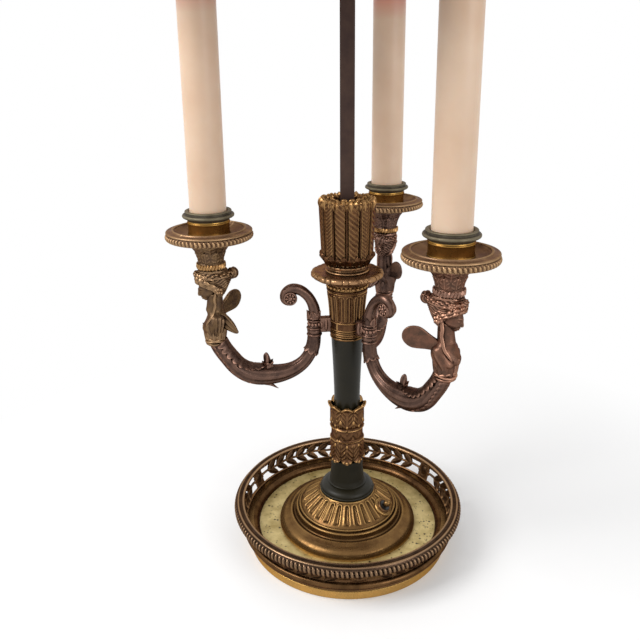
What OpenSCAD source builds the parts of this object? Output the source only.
// Three-light bouillotte lamp: a pierced brass tray, a turned column clamped by one tie rod,
// three scroll arms with winged figures, candle sockets and a metal shade that slides on a square rod.
// Millimetres, +Z up. The origin is the centre of the base ring, on the table.
// The arms stand at 180, 300 and 60 degrees; each repeated piece is numbered in that order.

/* [Tray] */
// Outer diameter of the base ring that rests on the table
base_d = 199; // [188:1:206]
// Height of the base ring
base_h = 9; // [6:0.5:14]
// Width of the base ring's wall
base_wall = 6.5; // [4:0.5:8]
// Rise of the tray floor above the base ring
floor_rise = 6.4; // [5:0.2:12]
// Diameter of the tray floor plate
floor_d = 178.6; // [170:0.2:182]
// Thickness of the tray floor plate
floor_t = 2; // [1.2:0.1:3]
// Height of the wall's cove above the floor
cove_h = 6.2; // [4:0.2:10]
// Width of the wall's cove
cove_w = 8.4; // [6:0.2:9]
// Height of the pierced gallery
gallery_h = 13.6; // [11:0.2:18]
// Outward flare of the gallery from its foot to its top
gallery_flare = 4.5; // [2:0.1:7]
// Thickness of the gallery
gallery_t = 2.4; // [1.6:0.1:3.2]
// Leaf pairs in each bay of the gallery
leaves = 5; // [4:1:6]
// Width of the plain panel between two bays
cabochon_w = 15; // [12:1:20]
// Overall diameter of the rim
rim_d = 228; // [224:1:240]
// Height of the rim moulding
rim_h = 7.4; // [5:0.2:9]

/* [Foot] */
// Diameter of the dome on the tray floor
dome_d = 137; // [120:1:160]
// Height of the dome above the floor
dome_h = 35; // [30:0.5:44]
// Wall of the dome
dome_wall = 2.2; // [1.6:0.1:3]
// Number of flutes around the dome
flutes = 26; // [20:1:30]
// Width of one flute
flute_w = 3.6; // [2.6:0.1:4.2]

/* [Switch] */
// Bearing of the rotary switch around the dome
switch_az = -38; // [-180:1:180]
// Distance of the switch from the lamp's axis, as a share of the dome's slope
switch_share = 0.31; // [0.26:0.01:0.36]
// Diameter of the switch's threaded neck
switch_neck_d = 10; // [9:0.1:11]
// Diameter of the switch body inside the dome
switch_body_d = 15; // [13:0.5:17]
// Length of the switch body
switch_body_l = 12; // [10:0.5:14]
// Diameter of the ring nut
switch_nut_d = 14; // [13:0.5:16]
// Diameter of the switch knob
knob_d = 7; // [6:0.5:9]
// Diameter of the switch spindle
spindle_d = 3.2; // [2.6:0.1:4]

/* [Column] */
// Diameter of the plinth's foot
plinth_d = 54.4; // [48:0.2:60]
// Height of the plinth
plinth_h = 35.5; // [28:0.5:42]
// Outer diameter of the leaf sheath's foot
sheath_d = 31; // [29:0.2:36]
// Height of the leaf sheath
sheath_h = 61; // [52:1:74]
// Number of petals at the sheath's top
petals = 8; // [6:1:10]
// Diameter of the shaft inside the sheath
shaft_low_d = 24.6; // [21:0.2:26]
// Diameter of the shaft under the neck ring
shaft_top_d = 30; // [28:0.2:32]
// Height of the bare shaft above the sheath
shaft_h = 68; // [56:1:84]
// Bore of the column that the wires pass through
bore_d = 16; // [14:0.5:18]
// Height of the neck ring
neck_h = 5; // [4:0.5:7]
// Height of the capital
capital_h = 42; // [36:0.5:50]
// Outer diameter of the capital's foot
capital_d = 31.4; // [30:0.2:35]
// Width of the bead ring at the capital's top
capital_top_d = 39.4; // [37:0.2:44]
// Wall of the capital around the hub
capital_wall = 2.2; // [1.2:0.1:2.6]
// Diameter over the beaded ring under the drip dish
bead_ring_d = 46.2; // [43:0.2:52]
// Height of the beaded ring
bead_ring_h = 9; // [7:0.5:12]
// Diameter of the drip dish on the column
dish_d = 67.6; // [60:0.2:76]
// Height of the drip dish with its knop
dish_h = 17; // [15:0.5:22]
// Diameter of the arrow quiver at its foot
quiver_foot_d = 45; // [40:0.5:48]
// Diameter of the arrow quiver at its top
quiver_top_d = 52.4; // [50:0.2:58]
// Height of the arrow quiver
quiver_h = 61; // [48:0.5:66]
// Number of arrows in the quiver
arrows = 18; // [14:1:20]

/* [Rod] */
// Width of the square rod
rod_w = 12.7; // [10:0.1:13.5]
// Turn of the square rod about its own axis
rod_turn = -10; // [-45:1:45]
// Length of the square rod above the quiver's floor
rod_l = 438; // [420:1:480]
// Diameter of the tie rod below the square
tie_d = 9.5; // [8:0.1:10.5]
// Height of the finial on the rod
finial_h = 30; // [24:1:40]
// Diameter of the finial
finial_d = 22; // [19:0.5:28]

/* [Arms] */
// Distance of the candles from the lamp's axis
arm_reach = 123.2; // [115:0.2:132]
// Distance of an arm's collar from the lamp's axis
collar_s = 31.2; // [30:0.1:33]
// Width of the lug between an arm's collar and the hub
lug_w = 9; // [7:0.5:10]
// Height of the lug
lug_h = 20; // [16:0.5:21]
// Depth of the horn's lowest bend below the lug
horn_drop = 39; // [34:0.5:46]
// Height of the figure's waist above the horn's lowest bend
waist_rise = 35; // [31:0.5:38]
// Radius of the horn at its thickest, in the bend
horn_r = 9.6; // [8:0.1:10.5]

/* [Figures] */
// Height of a figure from its waist to its cup's seat
figure_h = 96; // [90:0.5:104]
// Reach of a wing from the figure's axis
wing_l = 38; // [30:0.5:42]
// Width of a wing's blade
wing_w = 19.5; // [15:0.5:21]

/* [Candles] */
// Diameter of a drip pan
pan_d = 77.4; // [70:0.2:84]
// Height of a drip pan from its seat to its floor
pan_h = 8.5; // [7:0.5:11]
// Outer diameter of a candle cup's foot
cup_d = 36.6; // [35.6:0.2:42]
// Height of a candle cup
cup_h = 12.5; // [10:0.5:16]
// Diameter of the ring on a candle cup
ring_d = 45.4; // [43:0.2:50]
// Height of the ring on a candle cup
ring_h = 8.5; // [7:0.5:11]
// Outer diameter of a candle sleeve
sleeve_d = 32; // [31.4:0.1:32.4]
// Wall of a candle sleeve
sleeve_wall = 1.2; // [0.8:0.1:1.4]
// Length of a candle sleeve
sleeve_l = 203; // [180:1:215]
// Diameter of the tube that carries the lampholder
post_d = 9.6; // [8:0.1:10]
// Length of a lampholder
holder_l = 54; // [48:1:62]
// Wall of a lampholder
holder_wall = 1; // [0.8:0.1:1.2]
// Diameter of a bulb's threaded cap
cap_d = 26; // [25:0.1:26.2]
// Length of a bulb's threaded cap
cap_l = 24; // [20:0.5:27]
// Diameter of a bulb's glass
bulb_d = 35; // [32:0.5:38]
// Height of a bulb's glass above its sleeve
bulb_h = 75; // [64:1:78]

/* [Shade] */
// Diameter of the shade at its lower edge
shade_d = 380; // [368:1:400]
// Diameter of the shade at its upper edge
shade_top_d = 250; // [244:1:262]
// Height of the shade
shade_h = 120; // [112:1:134]
// Thickness of the shade's sheet metal
shade_t = 1; // [0.8:0.1:1.6]
// Diameter of the wired edges of the shade
bead_d = 4; // [3.4:0.2:5]
// Gap between the candle sleeves' tops and the shade's lower edge
shade_gap = 27; // [25:1:34]
// Width of the carrier's strips
strip_w = 12; // [9:0.5:14]
// Thickness of the carrier's strips
strip_t = 2.4; // [2:0.1:3]
// Height of the carrier's hub
hub_h = 30; // [26:1:36]
// Diameter of the clamp screw's shank
clamp_d = 5; // [4:0.1:6]

/* [Fits] */
// Clearance of pieces that slide over or into each other
fit = 0.15; // [0.1:0.01:0.25]
// Clearance of the bulb in its lampholder and of the shade's hub on the rod
loose = 0.35; // [0.3:0.01:0.5]

/* [Hidden] */
$fn = 96;

// Bearings of the three arms
arm_az = [180, 300, 60];
// Bearings of the shade carrier's three strips, between the candles
strip_az = [0, 120, 240];

// Thicknesses that the levels need
quiver_floor = 7;
cup_floor = 1.4;

// Levels, from the table up
floor_z = base_h + floor_rise;
wall_z = floor_z + cove_h;
gallery_z = wall_z + gallery_h;
dome_z = floor_z + dome_h;
plinth_z = dome_z + plinth_h;
sheath_z = plinth_z + sheath_h;
shaft_z = sheath_z + shaft_h;
lug_z = shaft_z + neck_h;
capital_z = lug_z + capital_h;
dish_z = capital_z + bead_ring_h;
quiver_z = dish_z + dish_h;
rod_z = quiver_z + quiver_floor;
rod_top = rod_z + rod_l;
horn_z = lug_z - horn_drop;
waist_z = horn_z + waist_rise;
pan_z = waist_z + figure_h;
cup_z = pan_z + pan_h;
ring_z = cup_z + cup_h;
sleeve_z = cup_z + cup_floor;
sleeve_top = sleeve_z + sleeve_l;
cap_z = sleeve_top - cap_l;
shade_z = sleeve_top + shade_gap;
shade_top = shade_z + shade_h;
hub_z = shade_top - hub_h;

// Tray radii
base_r = base_d / 2;
floor_r = floor_d / 2;
gallery_r = floor_r + cove_w;
gallery_top_r = gallery_r + gallery_flare;
rim_r = rim_d / 2;
ledge_w = 2.3;
ledge_t = 2;
bays = 6;
bay_az = 25.6;

// The bush that the cord leaves through, in the back of the base ring
cord_az = 80;
cord_bush_r = base_h * 0.36;
cord_bush_wall = 0.9;

// Dome and plinth radii
dome_r = dome_d / 2;
plinth_r = plinth_d / 2;
dome_top_r = plinth_r;
dome_plate = 3;

// The flutes' ends on the dome's section, as shares of its width and its height
flute_low = [0.46, 0.57];
flute_high = [0.02, 0.97];
flute_rise = (flute_high[1] - flute_low[1]) * dome_h;
flute_run = (flute_low[0] - flute_high[0]) * (dome_r - dome_top_r);
dome_slope = atan2(flute_rise, flute_run);

// The switch, on the flutes' slope
switch_rise = (flute_high[1] - flute_low[1]) * (flute_low[0] - switch_share) / (flute_low[0] - flute_high[0]);
switch_at = dome_at([switch_share, flute_low[1] + switch_rise]);
pad_h = 1.4;
pad_margin = 3;
switch_nut_t = 2;
switch_neck_top = pad_h + switch_nut_t + 0.6;
knob_gap = 0.5;
spindle_fit = 0.08;

// Column radii
bore_r = bore_d / 2;
tie_r = tie_d / 2;
sheath_r = sheath_d / 2;
shaft_low_r = shaft_low_d / 2;
shaft_top_r = shaft_top_d / 2;
capital_r = capital_d / 2;
capital_top_r = capital_top_d / 2;
hub_r = capital_r - capital_wall;
hub_slot_r = hub_r - 4.5;
hub_core_h = lug_h + 1;
bead_ring_r = bead_ring_d / 2;
dish_r = dish_d / 2;
quiver_foot_r = quiver_foot_d / 2;
knop_r = quiver_foot_r - 5.5;
quiver_top_r = quiver_top_d / 2;
arrow_foot_r = PI * quiver_foot_r / arrows * 0.92;
arrow_top_r = PI * quiver_top_r / arrows * 0.86;
quiver_well = 12;
nut_h = 6;
washer_t = 1.6;
washer_d = 30;
nut_af = 17;
tie_low = floor_z - floor_t - washer_t - nut_h - 1;
stud_r = 3;
stud_l = 9;
stud_fit = 0.08;
finial_z = rod_top + 0.1;

// Candle radii
pan_r = pan_d / 2;
pan_seat_r = figure_h * 0.181;
cup_r = cup_d / 2;
cup_in_r = sleeve_d / 2 + fit + 0.4;
ring_r = ring_d / 2;
sleeve_r = sleeve_d / 2;
sleeve_in_r = sleeve_r - sleeve_wall;
holder_r = cap_d / 2 + loose + holder_wall;
holder_floor = 4;
contact_h = 4.5;
holder_z = cap_z - contact_h - holder_floor;
post_r = post_d / 2;
post_wall = 1.4;
cap_r = cap_d / 2;
bulb_r = bulb_d / 2;

// Shade
shade_r = shade_d / 2;
shade_top_r = shade_top_d / 2;
bead_r = bead_d / 2;
hub_r_out = rod_w / sqrt(2) + 4;
strip_z = shade_top - 12;
sheet_low = [shade_r - bead_r, shade_z + bead_r];
sheet_high = [shade_top_r - bead_r, shade_top - bead_r];
shade_lean = atan2(sheet_low[0] - sheet_high[0], sheet_high[1] - sheet_low[1]);
sheet_half = shade_t / cos(shade_lean) / 2;

// The tabs that the shade's screws pass through
tab_l = 16;
tab_z = strip_z - tab_l / 2;
tab_gap = 0.2;
screw_r = 1.5;
screw_hole_r = 1.7;
screw_head_r = 3.2;
screw_head_h = 1.6;

// The clamp screw, square to a side of the rod
clamp_az = rod_turn + 180;
clamp_z = hub_z + hub_h * 0.42;
clamp_boss_wall = 3;
clamp_knob_r = 8;
clamp_knob_h = 6;
clamp_fit = 0.08;

// A point on a slope between two corners, by shares of its width and its height
function between(lo, hi, s) = [lo[0] + (hi[0] - lo[0]) * s[0], lo[1] + (hi[1] - lo[1]) * s[1]];

// A point on the dome's section, by shares of its width and its height
function dome_at(s) = between([dome_top_r, floor_z], [dome_r, dome_z], s);

// Points of an arc from one bearing to another
function arc(cx, cy, r, a0, a1, n = 8) = [for (i = [0:n]) let (a = a0 + (a1 - a0) * i / n)
    [cx + r * cos(a), cy + r * sin(a)]];

// A smooth curve through control points of any length, with equal steps between two of them
function spline_at(a, b, c, d, t) = 0.5 * (2 * b + (c - a) * t + (2 * a - 5 * b + 4 * c - d) * t * t
    + (3 * b - a - 3 * c + d) * t * t * t);
function spline(p, steps) = [for (i = [0:len(p) - 2]) for (j = [0:steps - 1])
    spline_at(p[max(i - 1, 0)], p[i], p[i + 1], p[min(i + 2, len(p) - 1)], j / steps), p[len(p) - 1]];

module turned(points) {
    rotate_extrude() polygon(points);
}

module at_arm(k) {
    rotate([0, 0, arm_az[k]]) children();
}

module at_candle(k) {
    at_arm(k) translate([arm_reach, 0, 0]) children();
}

// A round bar whose radius changes along a path in the XZ plane; each station is [x, z, radius]
module bent_bar(stations, sides = 16) {
    n = len(stations);
    function heading(i) = let (a = stations[max(i - 1, 0)], b = stations[min(i + 1, n - 1)])
        atan2(b[1] - a[1], b[0] - a[0]);
    rings = [for (i = [0:n - 1]) let (h = heading(i), s = stations[i]) for (j = [0:sides - 1])
        let (a = 360 * j / sides)
        [s[0] - s[2] * cos(a) * sin(h), s[2] * sin(a), s[1] + s[2] * cos(a) * cos(h)]];
    sides_faces = [for (i = [0:n - 2]) for (j = [0:sides - 1]) let (k = (j + 1) % sides)
        [i * sides + j, i * sides + k, (i + 1) * sides + k, (i + 1) * sides + j]];
    caps = [[for (j = [sides - 1:-1:0]) j], [for (j = [0:sides - 1]) (n - 1) * sides + j]];
    polyhedron(rings, concat(sides_faces, caps));
}

// ---- Tray ----

// The frame of the cord's way out through the back of the base ring; its Z axis points outwards
module at_cord() {
    rotate([0, 0, cord_az]) translate([base_r, 0, base_h / 2]) rotate([0, 90, 0]) children();
}

module base_ring() {
    edge = 1;
    color("goldenrod") difference() {
        turned([
            [base_r - base_wall, 0], [base_r - edge, 0], [base_r, edge], [base_r, base_h - edge],
            [base_r - edge, base_h], [base_r - base_wall, base_h]
        ]);
        at_cord() cylinder(h = base_wall * 4, r = cord_bush_r + fit, center = true);
    }
}

module cord_bush() {
    lip = 1.2;
    tail = base_wall + 1.5;
    color("#222222") at_cord() difference() {
        union() {
            translate([0, 0, -tail]) cylinder(h = tail + 0.5, r = cord_bush_r);
            translate([0, 0, 0.1]) cylinder(h = lip, r = cord_bush_r + 0.7);
        }
        translate([0, 0, -tail - 1]) cylinder(h = tail + lip + 2, r = cord_bush_r - cord_bush_wall);
    }
}

// The ring that joins the base ring, the floor and the gallery, with a ledge under the floor
module tray_wall() {
    seat_r = floor_r + fit;
    moulding = 3.2;
    foot_r = gallery_r + gallery_t;
    color("sienna") turned(concat(
        [[base_r - base_wall, base_h], [base_r - 1, base_h], [base_r - 1, base_h + 1.2]],
        arc(foot_r + moulding, wall_z - moulding, moulding, -70, 80),
        [[foot_r, wall_z], [gallery_r, wall_z]],
        [for (a = [0:15:90]) [gallery_r - (gallery_r - seat_r) * sin(a), floor_z + cove_h * cos(a)]],
        [[seat_r, floor_z - floor_t], [floor_r - ledge_w, floor_z - floor_t],
         [floor_r - ledge_w, floor_z - floor_t - ledge_t]]
    ));
}

module tray_floor() {
    color("palegoldenrod") difference() {
        translate([0, 0, floor_z - floor_t]) cylinder(h = floor_t, r = floor_r);
        translate([0, 0, floor_z - floor_t - 1]) cylinder(h = floor_t + 2, r = tie_r + fit);
    }
}

// One opening above and one below a leaf stem; the openings lean towards the bay's end
module leaf_openings(lean) {
    reach = gallery_flare + gallery_t + 12;
    top = gallery_h / 2 - 1.6;
    w = (2 * PI * gallery_r / bays - cabochon_w) / leaves;
    rotate([90, 0, 90]) linear_extrude(reach, center = true) {
        polygon([[-w * 0.34 * lean, 1], [w * 0.08 * lean, top], [w * 0.4 * lean, top],
                 [w * 0.16 * lean, 0.4]]);
        polygon([[-w * 0.3 * lean, -1.6], [w * 0.1 * lean, -1.8], [w * 0.28 * lean, -top + 0.6],
                 [-w * 0.06 * lean, -top]]);
    }
}

module gallery_band() {
    mid_r = gallery_r + (gallery_flare + gallery_t) / 2;
    bay = 360 / bays;
    margin = cabochon_w / gallery_r * 90 / PI;
    pitch = (bay - 2 * margin) / leaves;
    color("saddlebrown") difference() {
        turned([[gallery_r, wall_z], [gallery_r + gallery_t, wall_z],
                [gallery_top_r + gallery_t, gallery_z], [gallery_top_r, gallery_z]]);
        for (b = [0:bays - 1], i = [0:leaves - 1])
            rotate([0, 0, bay_az + b * bay + margin + (i + 0.5) * pitch])
                translate([mid_r, 0, (wall_z + gallery_z) / 2]) leaf_openings(b % 2 == 0 ? 1 : -1);
    }
}

module gallery_rim() {
    in_r = gallery_top_r - 0.5;
    w = rim_r - in_r;
    color("darkgoldenrod") turned(concat(
        [[in_r, gallery_z], [rim_r - w * 0.16, gallery_z]],
        arc(rim_r - rim_h * 0.45, gallery_z + rim_h * 0.5, rim_h * 0.45, -60, 75, 6),
        [[rim_r - w * 0.34, gallery_z + rim_h * 0.86], [rim_r - w * 0.42, gallery_z + rim_h],
         [rim_r - w * 0.72, gallery_z + rim_h], [in_r, gallery_z + rim_h * 0.7]]
    ));
}

// ---- Foot and switch ----

// The switch's own frame: its axis stands square to the dome's slope
module at_switch() {
    rotate([0, 0, switch_az]) translate([switch_at[0], 0, switch_at[1]])
        rotate([0, dome_slope, 0]) children();
}

// Grooves around the dome, half a pitch off the switch
module dome_flutes() {
    flute_l = norm(dome_at(flute_low) - dome_at(flute_high));
    for (i = [0:flutes - 1])
        rotate([0, 0, switch_az + 360 * (i + 0.5) / flutes])
            translate([dome_at(flute_high)[0], 0, dome_at(flute_high)[1]]) rotate([0, 90 + dome_slope, 0])
                translate([0, 0, flute_l * 0.12]) cylinder(h = flute_l * 0.8, r = flute_w / 2, $fn = 24);
}

module foot_dome() {
    ovolo = [[1, 0], [1, 0.05], [0.975, 0.07], [0.95, 0.13], [0.9, 0.19], [0.83, 0.25], [0.74, 0.285]];
    steps = [[0.725, 0.31], [0.69, 0.35], [0.65, 0.35], [0.625, 0.385], [0.6, 0.44]];
    bead = [[0.57, 0.47], [0.55, 0.52], [0.52, 0.54], [0.49, 0.53]];
    outer = [for (s = concat(ovolo, steps, bead, [flute_low, flute_high, [0, 1]])) dome_at(s)];
    inner = [for (s = [[0.48, 0.42], [0.6, 0.3], [0.72, 0.2], [0.87, 0.1], [0.95, 0]]) dome_at(s)];
    hole_r = tie_r + fit;
    under_z = dome_z - dome_plate;
    color("peru") difference() {
        union() {
            difference() {
                turned(concat([[hole_r, dome_z], [hole_r, under_z], [dome_top_r - 4, under_z]], inner,
                    outer));
                dome_flutes();
            }
            at_switch() translate([0, 0, -dome_wall])
                cylinder(h = dome_wall + pad_h, d = switch_nut_d + pad_margin);
        }
        at_switch() translate([0, 0, -dome_wall - 6])
            cylinder(h = dome_wall + pad_h + 12, d = switch_neck_d + 2 * fit);
        at_switch() translate([0, 0, -dome_wall - 14]) cylinder(h = 14, d = switch_body_d + 2);
    }
}

module switch_body() {
    neck_r = switch_neck_d / 2;
    color("dimgray") at_switch() difference() {
        union() {
            translate([0, 0, -dome_wall - switch_body_l]) cylinder(h = switch_body_l, d = switch_body_d);
            translate([0, 0, -dome_wall - 1]) cylinder(h = dome_wall + 1 + switch_neck_top, r = neck_r);
        }
        translate([0, 0, -dome_wall - 3]) cylinder(h = 20, r = spindle_d / 2 + spindle_fit);
    }
}

module switch_nut() {
    color("darkgoldenrod") at_switch() translate([0, 0, pad_h]) difference() {
        cylinder(h = switch_nut_t, d = switch_nut_d);
        translate([0, 0, -1]) cylinder(h = switch_nut_t + 2, d = switch_neck_d + fit);
    }
}

module switch_knob() {
    ball_z = switch_neck_top + knob_gap + knob_d * 0.42;
    sunk = dome_wall + 2.5;
    color("peru") at_switch() {
        translate([0, 0, -sunk]) cylinder(h = ball_z + sunk, d = spindle_d);
        difference() {
            translate([0, 0, ball_z]) sphere(d = knob_d);
            translate([0, 0, ball_z - knob_d]) cylinder(h = knob_d * 0.58, d = knob_d);
        }
    }
}

// ---- Column ----

module stem_plinth() {
    neck_r = sheath_r - 0.3;
    function at(s) = between([neck_r, dome_z], [plinth_r, plinth_z], s);
    color("darkslategray") turned(concat(
        [[bore_r, dome_z], at([0.97, 0])],
        [for (a = [-60:20:20]) at([0.93 + 0.07 * cos(a), 0.05 + 0.045 * sin(a)])],
        [for (s = [[0.95, 0.1], [0.88, 0.15], [0.76, 0.195], [0.6, 0.225], [0.4, 0.243]]) at(s)],
        [for (a = [-50:25:75]) at([0.28 + 0.045 * cos(a), 0.265 + 0.018 * sin(a)])],
        [for (s = [[0.23, 0.295], [0.17, 0.37], [0.1, 0.52], [0.04, 0.72], [0, 1]]) at(s)],
        [[bore_r, plinth_z]]
    ));
}

module column_shaft() {
    grow = shaft_top_r - shaft_low_r;
    color("darkslategray") turned(concat(
        [[bore_r, plinth_z], [shaft_low_r, plinth_z], [shaft_low_r, sheath_z]],
        [for (s = [0.25, 0.5, 0.75, 1]) [shaft_low_r + grow * pow(s, 1.45), sheath_z + (shaft_h) * s]],
        [[bore_r, shaft_z]]
    ));
}

// A leaf-covered ferrule over the shaft, with a ring of curled petal tips at its top
module leaf_sheath() {
    tip_r = 1.8;
    in_r = shaft_low_r + fit;
    foot = [[0, 0], [0.8, 0.05], [0.1, 0.16], [1.1, 0.3], [1.6, 0.36], [0.5, 0.39]];
    middle = [[0.9, 0.42], [0.9, 0.5], [1.3, 0.53], [-0.2, 0.585]];
    top = [[0.4, 0.64], [-0.4, 0.83], [0.4, 0.92], [1.2, 0.985]];
    function at(s) = [sheath_r + s[0], plinth_z + s[1] * sheath_h];
    color("darkgoldenrod") {
        turned(concat(
            [[in_r, plinth_z]], [for (s = concat(foot, middle, top)) at(s)], [[in_r, sheath_z]]
        ));
        for (i = [0:petals - 1])
            rotate([0, 0, 360 * (i + 0.5) / petals]) translate([sheath_r + 0.9, 0, sheath_z - tip_r * 1.3])
                sphere(r = tip_r, $fn = 32);
    }
}

module neck_ring() {
    beads = [[0.1, 0], [1, 0.14], [1, 0.36], [0.3, 0.48], [0.3, 0.56], [1.1, 0.68], [1.1, 0.9], [0.6, 1]];
    color("darkgoldenrod") turned(concat(
        [[bore_r, shaft_z]],
        [for (s = beads) [shaft_top_r + s[0], shaft_z + s[1] * neck_h]],
        [[bore_r, lug_z]]
    ));
}

// The core that the three lugs drop into
module arm_hub() {
    color("goldenrod") translate([0, 0, lug_z]) difference() {
        cylinder(h = hub_core_h, r = hub_r);
        translate([0, 0, -1]) cylinder(h = hub_core_h + 2, r = tie_r + 1.8);
        for (k = [0:2]) at_arm(k) translate([hub_slot_r, -lug_w / 2 - fit, -1])
            cube([hub_r, lug_w + 2 * fit, lug_h + 2]);
    }
}

module capital() {
    function at(s) = between([capital_r, lug_z], [capital_top_r, capital_z], s);
    bead = 1.3;
    color("darkgoldenrod") difference() {
        turned(concat(
            [[bore_r, lug_z]],
            [for (s = [[0, 0], [0, 0.2], [0.15, 0.55], [0.4, 0.8], [0.66, 0.875], [0.72, 0.905]]) at(s)],
            arc(capital_top_r - bead, capital_z - 2.2, bead, -75, 75, 6),
            [at([0.8, 1]), [bore_r, capital_z]]
        ));
        translate([0, 0, lug_z - 1]) cylinder(h = hub_core_h + 1 + fit, r = hub_r + fit);
        for (k = [0:2]) at_arm(k) translate([0, -lug_w / 2 - fit, lug_z - 1])
            cube([capital_top_r, lug_w + 2 * fit, lug_h + 1 + fit]);
    }
}

module bead_ring() {
    outline = [[0.82, 0], [0.84, 0.12], [0.79, 0.22], [0.78, 0.3], [0.83, 0.48], [0.78, 0.66],
        [0.82, 0.76], [0.93, 0.88], [0.95, 1]];
    color("goldenrod") turned(concat(
        [[bore_r, capital_z]],
        [for (s = outline) [s[0] * bead_ring_r, capital_z + s[1] * bead_ring_h]],
        [[bore_r, dish_z]]
    ));
}

module drip_dish() {
    function at(r, s) = [r, dish_z + s * dish_h];
    color("darkgoldenrod") turned([
        [bore_r, dish_z], at(bead_ring_r * 0.95, 0), at(dish_r * 0.82, 0.08), at(dish_r * 0.94, 0.2),
        at(dish_r, 0.36), at(dish_r, 0.46), at(dish_r * 0.96, 0.53), at(dish_r * 0.86, 0.53),
        at(knop_r + 4, 0.49), at(knop_r + 2.6, 0.54), at(knop_r + 2.2, 0.62), at(knop_r + 0.4, 0.67),
        at(knop_r, 0.76), at(knop_r + 1.2, 0.82), at(knop_r + 1.8, 0.9), at(knop_r + 1.4, 1),
        [bore_r, quiver_z]
    ]);
}

// A bundle of feathered arrows around a cup; the rod's square end sits in its floor
module arrow_quiver() {
    foot_c = quiver_foot_r - arrow_foot_r;
    top_c = quiver_top_r - arrow_top_r;
    foot_z = quiver_z + 3;
    tip_z = quiver_z + quiver_h - arrow_top_r;
    core = [[0, quiver_z], [knop_r + 1.4, quiver_z], [foot_c, foot_z], [top_c, tip_z], [0, tip_z]];
    color("darkgoldenrod") difference() {
        union() {
            rotate_extrude($fn = 36) polygon(core);
            for (i = [0:arrows - 1]) rotate([0, 0, 360 * i / arrows]) hull() {
                translate([foot_c, 0, foot_z + arrow_foot_r * 0.6]) sphere(r = arrow_foot_r, $fn = 10);
                translate([top_c, 0, tip_z]) sphere(r = arrow_top_r, $fn = 10);
            }
        }
        translate([0, 0, tip_z - quiver_well])
            cylinder(h = quiver_well + 10, r1 = rod_w * 0.75, r2 = top_c - 1, $fn = 36);
        rotate([0, 0, rod_turn]) translate([-rod_w / 2 - fit, -rod_w / 2 - fit, rod_z])
            cube([rod_w + 2 * fit, rod_w + 2 * fit, quiver_h]);
        translate([0, 0, quiver_z - 1]) cylinder(h = quiver_floor + 2, r = tie_r + fit, $fn = 48);
    }
}

module square_rod() {
    color("#3a2e28") {
        rotate([0, 0, rod_turn]) translate([-rod_w / 2, -rod_w / 2, rod_z]) cube([rod_w, rod_w, rod_l]);
        translate([0, 0, tie_low]) cylinder(h = rod_z - tie_low + 1, r = tie_r);
        translate([0, 0, rod_top - 1]) cylinder(h = stud_l + 1, r = stud_r);
    }
}

module tie_washer() {
    color("silver") translate([0, 0, floor_z - floor_t - washer_t]) difference() {
        cylinder(h = washer_t, d = washer_d);
        translate([0, 0, -1]) cylinder(h = washer_t + 2, r = tie_r + fit);
    }
}

module tie_nut() {
    color("silver") translate([0, 0, floor_z - floor_t - washer_t - nut_h]) difference() {
        cylinder(h = nut_h, d = nut_af / cos(30), $fn = 6);
        translate([0, 0, -1]) cylinder(h = nut_h + 2, r = tie_r + fit);
    }
}

module rod_finial() {
    r = finial_d / 2;
    stem = [[0.86, 0], [0.9, 0.06], [0.55, 0.16], [0.42, 0.24], [0.6, 0.3], [0.42, 0.36], [0.7, 0.44]];
    urn = [[0.95, 0.54], [1, 0.62], [0.95, 0.7], [0.6, 0.78], [0.36, 0.83], [0.4, 0.9], [0.26, 0.97], [0, 1]];
    color("goldenrod") difference() {
        turned(concat([[0, finial_z]], [for (s = concat(stem, urn)) [s[0] * r, finial_z + s[1] * finial_h]]));
        translate([0, 0, rod_top - 1]) cylinder(h = stud_l + 1.4, r = stud_r + stud_fit);
    }
}

// ---- Arms ----

// A point of the horn, by shares of its reach and its drop, with the bar's radius there
function horn_at(u, w, r) =
    [collar_s + u * (arm_reach - collar_s), horn_z + w * horn_drop, r * horn_r / 9.6];

// The horn from its collar, down, out and up to the figure's waist
waist_w = waist_rise / horn_drop;
horn_path = spline([
    horn_at(0, 1.02, 6), horn_at(0.015, 0.69, 6), horn_at(0.061, 0.44, 5.9), horn_at(0.13, 0.235, 6.3),
    horn_at(0.237, 0.085, 7.2), horn_at(0.356, 0.012, 8.4), horn_at(0.476, 0, 9.5),
    horn_at(0.596, 0.022, 9.6), horn_at(0.704, waist_w * 0.125, 9), horn_at(0.797, waist_w * 0.31, 8.3),
    horn_at(0.873, waist_w * 0.57, 7.9), horn_at(0.935, waist_w * 0.82, 7.7),
    horn_at(0.975, waist_w * 1.04, 7.6)
], 2);

// The scroll above the collar, ending in a volute; its sizes are shares of the lug's height
scroll_u = lug_h / 20;
function scroll_at(x, z, r) = [collar_s + x * scroll_u, lug_z + lug_h + z * scroll_u, r * scroll_u];
scroll_path = spline([
    scroll_at(-0.2, -6, 5.6), scroll_at(-0.2, 3, 5.4), scroll_at(2.2, 11, 4.9), scroll_at(6.6, 18, 4.8),
    scroll_at(13, 23.2, 4.9), scroll_at(20.5, 24.6, 5), scroll_at(26.4, 21, 4.4), scroll_at(27.4, 15.4, 3.8),
    scroll_at(24, 12.2, 3.6)
], 2);

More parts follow.
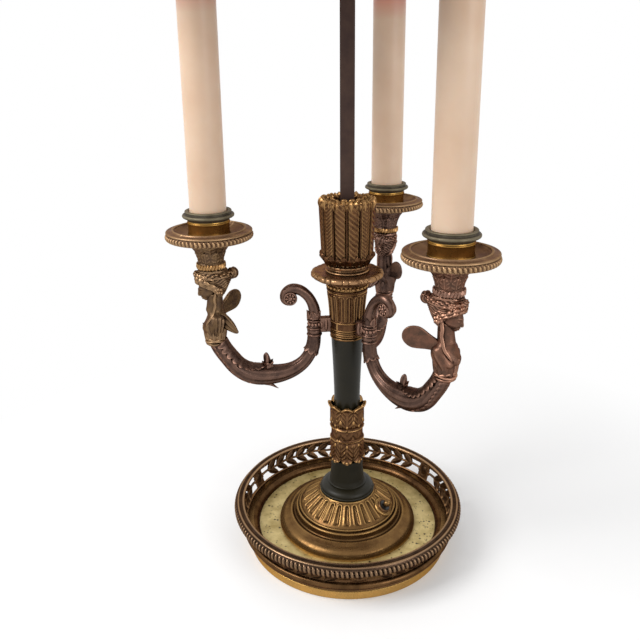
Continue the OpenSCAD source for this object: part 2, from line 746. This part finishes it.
module arm(k) {
    lug_in = hub_slot_r + fit;
    volute = scroll_at(22.4, 16.8, 0);
    collar_z = lug_z - 1;
    bud = horn_at(0.48, 0.2, 0);
    spur = horn_at(0.46, -0.16, 0);
    color("sienna") at_arm(k) difference() {
        union() {
            bent_bar(horn_path, 14);
            bent_bar(scroll_path, 10);
            translate([lug_in, -lug_w / 2, lug_z]) cube([collar_s - lug_in, lug_w, lug_h]);
            translate([collar_s, 0, collar_z]) collar();
            translate([volute[0], 0, volute[1]]) rotate([90, 0, 0])
                cylinder(h = 11, r = 6.2, center = true, $fn = 24);
            hull() {
                translate([bud[0], 0, bud[1]]) sphere(r = 4, $fn = 16);
                translate([bud[0] + 0.5, 0, bud[1] + 11]) sphere(r = 3.2, $fn = 16);
            }
            hull() {
                translate([spur[0] + 8, 0, spur[1] + 3]) sphere(r = 3, $fn = 12);
                translate([spur[0] - 2, 0, spur[1] + 1.2]) sphere(r = 1.2, $fn = 12);
            }
            for (side = [-1, 1], i = [0:3]) leaf_edge(side, i);
        }
        translate([0, -50, waist_z]) translate([arm_reach - 30, 0, 0]) cube([60, 100, 40]);
    }
}

// One scallop of the leaf that lies along each side of the horn
module leaf_edge(side, i) {
    a = horn_path[10 + 3 * i];
    b = horn_path[12 + 3 * i];
    hull() {
        translate([a[0], side * a[2] * 0.72, a[1] - a[2] * 0.3]) sphere(r = 2.4, $fn = 8);
        translate([b[0], side * b[2] * 0.86, b[1] - b[2] * 0.1]) sphere(r = 1.9, $fn = 8);
    }
}

// The beaded collar on an arm, on the axis of the lug's end
module collar() {
    h = lug_h - 3;
    rotate_extrude($fn = 24) polygon([
        [0, 0], [5.6, 0], [6.6, h * 0.06], [6.6, h * 0.2], [5.6, h * 0.28], [5.8, h * 0.36], [6.5, h * 0.42],
        [6.5, h * 0.56], [5.4, h * 0.64], [5.6, h * 0.8], [6.2, h * 0.86], [6.2, h * 0.96], [5.2, h], [0, h]
    ]);
}

module arm_1() { arm(0); }
module arm_2() { arm(1); }
module arm_3() { arm(2); }

// ---- Figures ----

// A figure's own unit of length, a 96th of its height from the waist to the cup's seat
fig = figure_h / 96;

// An egg shape on a figure, with its centre and its half-lengths in the figure's units
module egg(centre, half, n = 14) {
    translate(centre * fig) scale(half * fig) sphere(r = 1, $fn = n);
}

// A flat paddle wing, on one side of the figure, rising by an angle towards its tip
module wing(side, rise, size) {
    l = size * wing_l / fig;
    w = size * wing_w / fig / 2;
    root_l = 13 * size;
    t = 1.7;
    translate([0, 0, 26 * fig]) rotate([0, 0, side * 135]) rotate([0, -rise, 0]) {
        hull() {
            egg([5, 0, 0], [4, 3.6, 7], 12);
            egg([root_l, 0, 0], [3, t, w * 0.62], 12);
        }
        hull() {
            egg([root_l, 0, 0], [3, t, w * 0.62], 12);
            egg([l - w, 0, 0], [w, t, w], 16);
        }
    }
}

// The moulding at the waist and the vase on the head, in the figure's units
waist_band = [[0, 0], [7.6, 0], [8.6, 1], [8.6, 2.6], [7.6, 3.8], [7.4, 5], [0, 5]];
vase_z = 72.5;
vase = [[0, 0], [11.6, 0], [12.8, 1.5], [12.8, 4.5], [11.8, 6], [11.4, 8], [11.6, 13], [13.4, 18.2],
        [17.4, 23.5], [0, 23.5]];

// A half-figure growing from a beaded waist and carrying a leafy vase on its head; it looks outwards
module figure(k) {
    color("rosybrown") translate([0, 0, waist_z]) at_candle(k) {
        rotate_extrude($fn = 28) polygon(waist_band * fig);
        hull() {
            egg([-0.5, 0, 5.8], [7.6, 8, 4]);
            egg([-0.5, 0, 16.3], [9.6, 10.4, 5]);
            egg([-0.6, 0, 22.6], [9.2, 11, 5]);
        }
        hull() {
            egg([-0.6, 0, 22.6], [9.2, 11, 5]);
            egg([-2, 0, 29.8], [6.5, 11.5, 4.2]);
            egg([-0.4, 0, 33.6], [6.8, 7, 4]);
        }
        hull() {
            egg([-0.4, 0, 33.6], [6.6, 6.8, 4], 12);
            egg([0.4, 0, 43.2], [6.6, 6.2, 4], 12);
        }
        hull() {
            egg([5.4, 0, 52.8], [8.8, 7.6, 9], 16);
            egg([2, 0, 57.6], [9, 8.6, 9], 16);
        }
        egg([-2, 0, 58.6], [12.4, 11.6, 11.5], 16);
        egg([3.5, 0, 67.2], [11, 11.4, 7], 16);
        egg([-20, 0, 67.2], [6.2, 5.6, 6.2], 12);
        egg([-14, 0, 66.2], [6, 5, 5], 10);
        wing(1, -50, 0.68);
        wing(-1, 21, 1);
        translate([0, 0, vase_z * fig]) rotate_extrude($fn = 28) polygon(vase * fig);
    }
}

module figure_1() { figure(0); }
module figure_2() { figure(1); }
module figure_3() { figure(2); }

// ---- Candles ----

module drip_pan(k) {
    function at(r, s) = [r, pan_z + s * pan_h];
    color("burlywood") at_candle(k) turned([
        at(post_r + fit, 0), at(pan_seat_r, 0), at(pan_r * 0.65, 0.14), at(pan_r * 0.85, 0.5),
        at(pan_r - 2.2, 0.74), at(pan_r - 0.6, 0.9), at(pan_r, 1.08), at(pan_r - 0.4, 1.28),
        at(pan_r - 2.4, 1.4), at(pan_r * 0.85, 1.48), at(pan_r * 0.81, 1.62), at(pan_r * 0.78, 1.6),
        at(pan_r * 0.74, 1.28), at(pan_r * 0.64, 1.08), at(pan_r * 0.54, 1), at(post_r + fit, 1)
    ]);
}

module drip_pan_1() { drip_pan(0); }
module drip_pan_2() { drip_pan(1); }
module drip_pan_3() { drip_pan(2); }

module candle_cup(k) {
    function at(r, s) = [r, cup_z + s * cup_h];
    color("gold") at_candle(k) turned([
        at(post_r + fit, 0), at(cup_r - 0.5, 0), at(cup_r, 0.05), at(cup_r - 0.2, 0.3), at(cup_r - 0.1, 0.72),
        at(cup_r + 0.5, 0.84), at(cup_r + 0.5, 0.92), at(cup_r, 1), at(cup_in_r, 1), [cup_in_r, sleeve_z],
        [post_r + fit, sleeve_z]
    ]);
}

module candle_cup_1() { candle_cup(0); }
module candle_cup_2() { candle_cup(1); }
module candle_cup_3() { candle_cup(2); }

module cup_ring(k) {
    function at(r, s) = [r, ring_z + s * ring_h];
    color("darkkhaki") at_candle(k) turned([
        at(cup_in_r, 0), at(cup_r, 0), at(cup_r + 1, 0.1), at(ring_r - 1.6, 0.3), at(ring_r - 0.2, 0.46),
        at(ring_r, 0.58), at(ring_r - 0.6, 0.7), at(ring_r - 2.4, 0.78), at(ring_r - 2, 0.9),
        at(ring_r - 2.6, 1), at(cup_in_r + 1.4, 1), at(cup_in_r, 0.8)
    ]);
}

module cup_ring_1() { cup_ring(0); }
module cup_ring_2() { cup_ring(1); }
module cup_ring_3() { cup_ring(2); }

module candle_sleeve(k) {
    color("bisque") at_candle(k) translate([0, 0, sleeve_z]) difference() {
        cylinder(h = sleeve_l, r = sleeve_r);
        translate([0, 0, -1]) cylinder(h = sleeve_l + 2, r = sleeve_in_r);
    }
}

module candle_sleeve_1() { candle_sleeve(0); }
module candle_sleeve_2() { candle_sleeve(1); }
module candle_sleeve_3() { candle_sleeve(2); }

// The tube that stands on the figure and carries the lampholder inside the sleeve
module socket_post(k) {
    post_l = sleeve_top - holder_l - pan_z;
    color("silver") at_candle(k) difference() {
        translate([0, 0, pan_z]) cylinder(h = post_l, r = post_r);
        translate([0, 0, pan_z - 1]) cylinder(h = post_l + 2, r = post_r - post_wall);
    }
}

module socket_post_1() { socket_post(0); }
module socket_post_2() { socket_post(1); }
module socket_post_3() { socket_post(2); }

module lamp_holder(k) {
    color("#2b2b2b") at_candle(k) difference() {
        translate([0, 0, sleeve_top - holder_l]) cylinder(h = holder_l, r = holder_r);
        translate([0, 0, cap_z - contact_h]) cylinder(h = cap_l + contact_h + 1, r = cap_r + loose);
    }
}

module lamp_holder_1() { lamp_holder(0); }
module lamp_holder_2() { lamp_holder(1); }
module lamp_holder_3() { lamp_holder(2); }

module bulb_cap(k) {
    color("silver") at_candle(k) turned([
        [0, cap_z - contact_h], [cap_r * 0.36, cap_z - contact_h], [cap_r * 0.4, cap_z - contact_h * 0.7],
        [cap_r * 0.92, cap_z - 0.4], [cap_r, cap_z + 0.8], [cap_r, sleeve_top], [cap_r - 1.1, sleeve_top],
        [cap_r - 1.1, cap_z + 2.4], [0, cap_z + 2.4]
    ]);
}

module bulb_cap_1() { bulb_cap(0); }
module bulb_cap_2() { bulb_cap(1); }
module bulb_cap_3() { bulb_cap(2); }

// A flame-shaped bulb, as a thin shell that stands on its cap
module bulb_glass(k) {
    neck = cap_r - 0.5;
    wall = 1;
    outline = spline([
        [neck, 0], [neck + 0.1, 0.03], [bulb_r * 0.88, 0.16], [bulb_r, 0.34], [bulb_r * 0.9, 0.56],
        [bulb_r * 0.55, 0.8], [bulb_r * 0.2, 0.94], [0, 1]
    ], 3);
    inner = [for (i = [len(outline) - 1:-1:0]) let (p = outline[i])
        [max(p[0] - wall, 0), sleeve_top + p[1] * (bulb_h - 2 * wall)]];
    color("ivory") at_candle(k) turned(concat([for (p = outline) [max(p[0], 0), sleeve_top + p[1] * bulb_h]],
        [for (p = inner) if (p[0] > 0 || p[1] > sleeve_top + 0.9 * bulb_h) p]));
}

module bulb_glass_1() { bulb_glass(0); }
module bulb_glass_2() { bulb_glass(1); }
module bulb_glass_3() { bulb_glass(2); }

// ---- Shade ----

// Radius of the sheet's inner face at a height
function shade_in(z) = sheet_low[0] - sheet_half
    - (sheet_low[0] - sheet_high[0]) * (z - sheet_low[1]) / (sheet_high[1] - sheet_low[1]);

// The frame of a screw through the sheet: its X axis points out of the shade, square to the sheet
module at_tab(i) {
    rotate([0, 0, strip_az[i]]) translate([shade_in(tab_z), 0, tab_z]) rotate([0, -shade_lean, 0])
        children();
}

module screw_hole(i) {
    at_tab(i) rotate([0, 90, 0]) cylinder(h = 12, r = screw_hole_r, center = true, $fn = 24);
}

module shade() {
    color("darkred") difference() {
        union() {
            turned([
                [sheet_low[0] - sheet_half, sheet_low[1]], [sheet_low[0] + sheet_half, sheet_low[1]],
                [sheet_high[0] + sheet_half, sheet_high[1]], [sheet_high[0] - sheet_half, sheet_high[1]]
            ]);
            for (c = [sheet_low, sheet_high]) rotate_extrude() translate(c) circle(r = bead_r, $fn = 24);
        }
        for (i = [0:2]) screw_hole(i);
    }
}

// One strip of the carrier, with the tab at its end that lies along the sheet
module carrier_strip(i) {
    strip_end = shade_in(strip_z + strip_t) - tab_gap / cos(shade_lean) - 0.3;
    rotate([0, 0, strip_az[i]]) translate([hub_r_out - 2, -strip_w / 2, strip_z])
        cube([strip_end - hub_r_out + 2, strip_w, strip_t]);
    at_tab(i) translate([-tab_gap - strip_t, -strip_w / 2, -tab_l / 2])
        cube([strip_t, strip_w, tab_l + strip_t * 2.6]);
}

// The frame of the clamp screw: its Z axis points away from the rod
module at_clamp() {
    rotate([0, 0, clamp_az]) translate([0, 0, clamp_z]) rotate([0, 90, 0]) children();
}

// The strips that carry the shade, on a hub with a square hole
module shade_carrier() {
    hole_w = rod_w + 2 * loose;
    color("goldenrod") difference() {
        union() {
            translate([0, 0, hub_z]) cylinder(h = hub_h, r = hub_r_out);
            at_clamp() cylinder(h = hub_r_out + 3, r = clamp_d / 2 + clamp_boss_wall);
            for (i = [0:2]) carrier_strip(i);
        }
        rotate([0, 0, rod_turn]) translate([-hole_w / 2, -hole_w / 2, hub_z - 1])
            cube([hole_w, hole_w, hub_h + 2]);
        at_clamp() cylinder(h = hub_r_out + 10, r = clamp_d / 2 + clamp_fit);
        for (i = [0:2]) screw_hole(i);
    }
}

module shade_screws() {
    color("goldenrod") for (i = [0:2]) at_tab(i) rotate([0, 90, 0]) {
        translate([0, 0, shade_t]) cylinder(h = screw_head_h, r = screw_head_r);
        translate([0, 0, -strip_t - 2]) cylinder(h = strip_t + 2.2 + shade_t, r = screw_r, $fn = 24);
    }
}

module clamp_screw() {
    tip = rod_w / 2 + 0.4;
    knob_z = hub_r_out + 4;
    grips = 12;
    color("goldenrod") at_clamp() {
        translate([0, 0, tip]) cylinder(h = knob_z + 4 - tip, r = clamp_d / 2);
        difference() {
            translate([0, 0, knob_z]) cylinder(h = clamp_knob_h, r = clamp_knob_r);
            for (i = [0:grips - 1]) rotate([0, 0, 360 * i / grips])
                translate([clamp_knob_r + 0.6, 0, knob_z - 1])
                    cylinder(h = clamp_knob_h + 2, r = 1.4, $fn = 24);
        }
    }
}

base_ring();
cord_bush();
tray_wall();
tray_floor();
gallery_band();
gallery_rim();
foot_dome();
switch_body();
switch_nut();
switch_knob();
stem_plinth();
column_shaft();
leaf_sheath();
neck_ring();
arm_hub();
capital();
bead_ring();
drip_dish();
arrow_quiver();
square_rod();
tie_washer();
tie_nut();
arm_1();
arm_2();
arm_3();
figure_1();
figure_2();
figure_3();
drip_pan_1();
drip_pan_2();
drip_pan_3();
candle_cup_1();
candle_cup_2();
candle_cup_3();
cup_ring_1();
cup_ring_2();
cup_ring_3();
candle_sleeve_1();
candle_sleeve_2();
candle_sleeve_3();
socket_post_1();
socket_post_2();
socket_post_3();
lamp_holder_1();
lamp_holder_2();
lamp_holder_3();
bulb_cap_1();
bulb_cap_2();
bulb_cap_3();
bulb_glass_1();
bulb_glass_2();
bulb_glass_3();
shade();
shade_carrier();
shade_screws();
clamp_screw();
rod_finial();
